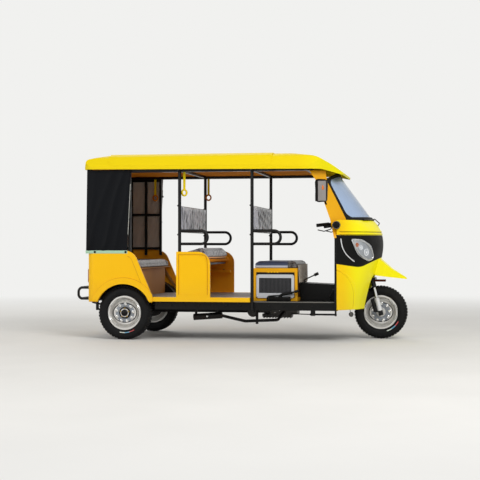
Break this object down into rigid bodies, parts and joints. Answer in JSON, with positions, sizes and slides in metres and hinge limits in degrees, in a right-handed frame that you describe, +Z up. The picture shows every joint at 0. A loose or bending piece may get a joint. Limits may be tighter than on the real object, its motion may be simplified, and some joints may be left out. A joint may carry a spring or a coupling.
{
  "type": "auto rickshaw",
  "caption": "Three-wheeled passenger vehicle with open sides, bench seats, moulded roof and cowl, and a steered, turning front wheel.",
  "frame": {"origin": "on the ground below the middle of the vehicle's box", "axes": "+X forward, +Y to the vehicle's left, +Z up"},
  "size_m": [3.3073, 1.538, 1.838],
  "materials": {
    "chassis_frame": "satin",
    "passenger_floor": "tread",
    "sills": "gloss",
    "cab_floor": "satin",
    "centre_tunnel": "satin",
    "rear_body": "gloss",
    "wheel_housings": "satin",
    "rear_seat_base": "satin",
    "mid_seat_sides": "gloss",
    "mid_seat_frame": "gloss",
    "mid_seat_tubes": "satin",
    "driver_seat_frame": "gloss",
    "cooling_grille": "satin",
    "rear_cushion": "woven",
    "mid_cushion": "woven",
    "driver_cushion": "woven",
    "mid_backrest": "woven",
    "driver_backrest": "woven",
    "rear_backrest": "woven",
    "mid_pillars": "satin",
    "front_pillars": "satin",
    "rear_window_frames": "satin",
    "roof_rails": "satin",
    "roof_shell": "gloss",
    "hand_straps": "moulded",
    "side_curtains": "coated",
    "rear_curtain": "coated",
    "cowl_lower": "gloss",
    "cowl_mask": "moulded",
    "cowl_upper": "gloss",
    "cab_bulkhead": "moulded",
    "cowl_edge_strips": "satin",
    "cab_pillars": "gloss",
    "windscreen_gasket": "matte",
    "windscreen": "clear",
    "wiper": "satin",
    "headlamps": "clear",
    "side_lamps": "moulded",
    "tail_lamps": "moulded",
    "mirrors": "moulded",
    "beak_mudguard": "gloss",
    "steering_head": "satin",
    "fork": "satin",
    "handlebar": "satin",
    "tyre_front": "matte",
    "rim_front": "satin",
    "tyre_rear_right": "matte",
    "rim_rear_right": "satin",
    "tyre_rear_left": "matte",
    "rim_rear_left": "satin",
    "rear_axle": "cast",
    "leaf_springs": "satin",
    "engine_block": "cast",
    "exhaust": "satin",
    "brake_linkage": "satin",
    "rear_bumper": "satin",
    "controls": "satin"
  },
  "bodies": {
    "root": {"chassis_frame": "chassis_frame", "passenger_floor": "passenger_floor", "sills": "sills", "cab_floor": "cab_floor", "centre_tunnel": "centre_tunnel", "rear_body": "rear_body", "wheel_housings": "wheel_housings", "rear_seat_base": "rear_seat_base", "mid_seat_sides": "mid_seat_sides", "mid_seat_frame": "mid_seat_frame", "mid_seat_tubes": "mid_seat_tubes", "driver_seat_frame": "driver_seat_frame", "cooling_grille": "cooling_grille", "rear_cushion": "rear_cushion", "mid_cushion": "mid_cushion", "driver_cushion": "driver_cushion", "mid_backrest": "mid_backrest", "driver_backrest": "driver_backrest", "rear_backrest": "rear_backrest", "mid_pillars": "mid_pillars", "front_pillars": "front_pillars", "rear_window_frames": "rear_window_frames", "roof_rails": "roof_rails", "roof_shell": "roof_shell", "hand_straps": "hand_straps", "side_curtains": "side_curtains", "rear_curtain": "rear_curtain", "cowl_lower": "cowl_lower", "cowl_mask": "cowl_mask", "cowl_upper": "cowl_upper", "cab_bulkhead": "cab_bulkhead", "cowl_edge_strips": "cowl_edge_strips", "cab_pillars": "cab_pillars", "windscreen_gasket": "windscreen_gasket", "windscreen": "windscreen", "wiper": "wiper", "headlamps": "headlamps", "side_lamps": "side_lamps", "tail_lamps": "tail_lamps", "mirrors": "mirrors", "beak_mudguard": "beak_mudguard", "steering_head": "steering_head", "rear_axle": "rear_axle", "leaf_springs": "leaf_springs", "engine_block": "engine_block", "exhaust": "exhaust", "brake_linkage": "brake_linkage", "rear_bumper": "rear_bumper", "controls": "controls"},
    "steering": {"fork": "fork", "handlebar": "handlebar"},
    "front_wheel": {"tyre_front": "tyre_front", "rim_front": "rim_front"},
    "rear_wheel_right": {"tyre_rear_right": "tyre_rear_right", "rim_rear_right": "rim_rear_right"},
    "rear_wheel_left": {"tyre_rear_left": "tyre_rear_left", "rim_rear_left": "rim_rear_left"}
  },
  "joints": [
    {"name": "steering_turn", "type": "hinge", "parent": "root", "child": "steering", "pos_m": [1.26142, 0, 0.56728], "axis": [-0.2588, 0, 0.9659], "range_deg": [-35, 35]},
    {"name": "front_wheel_spin", "type": "hinge", "parent": "steering", "child": "front_wheel", "pos_m": [1.389, 0, 0.265], "axis": [0, 1, 0], "continuous": true},
    {"name": "rear_right_spin", "type": "hinge", "parent": "root", "child": "rear_wheel_right", "pos_m": [-1.107, -0.5725, 0.265], "axis": [0, 1, 0], "continuous": true},
    {"name": "rear_left_spin", "type": "hinge", "parent": "root", "child": "rear_wheel_left", "pos_m": [-1.107, 0.5725, 0.265], "axis": [0, 1, 0], "continuous": true}
  ]
}
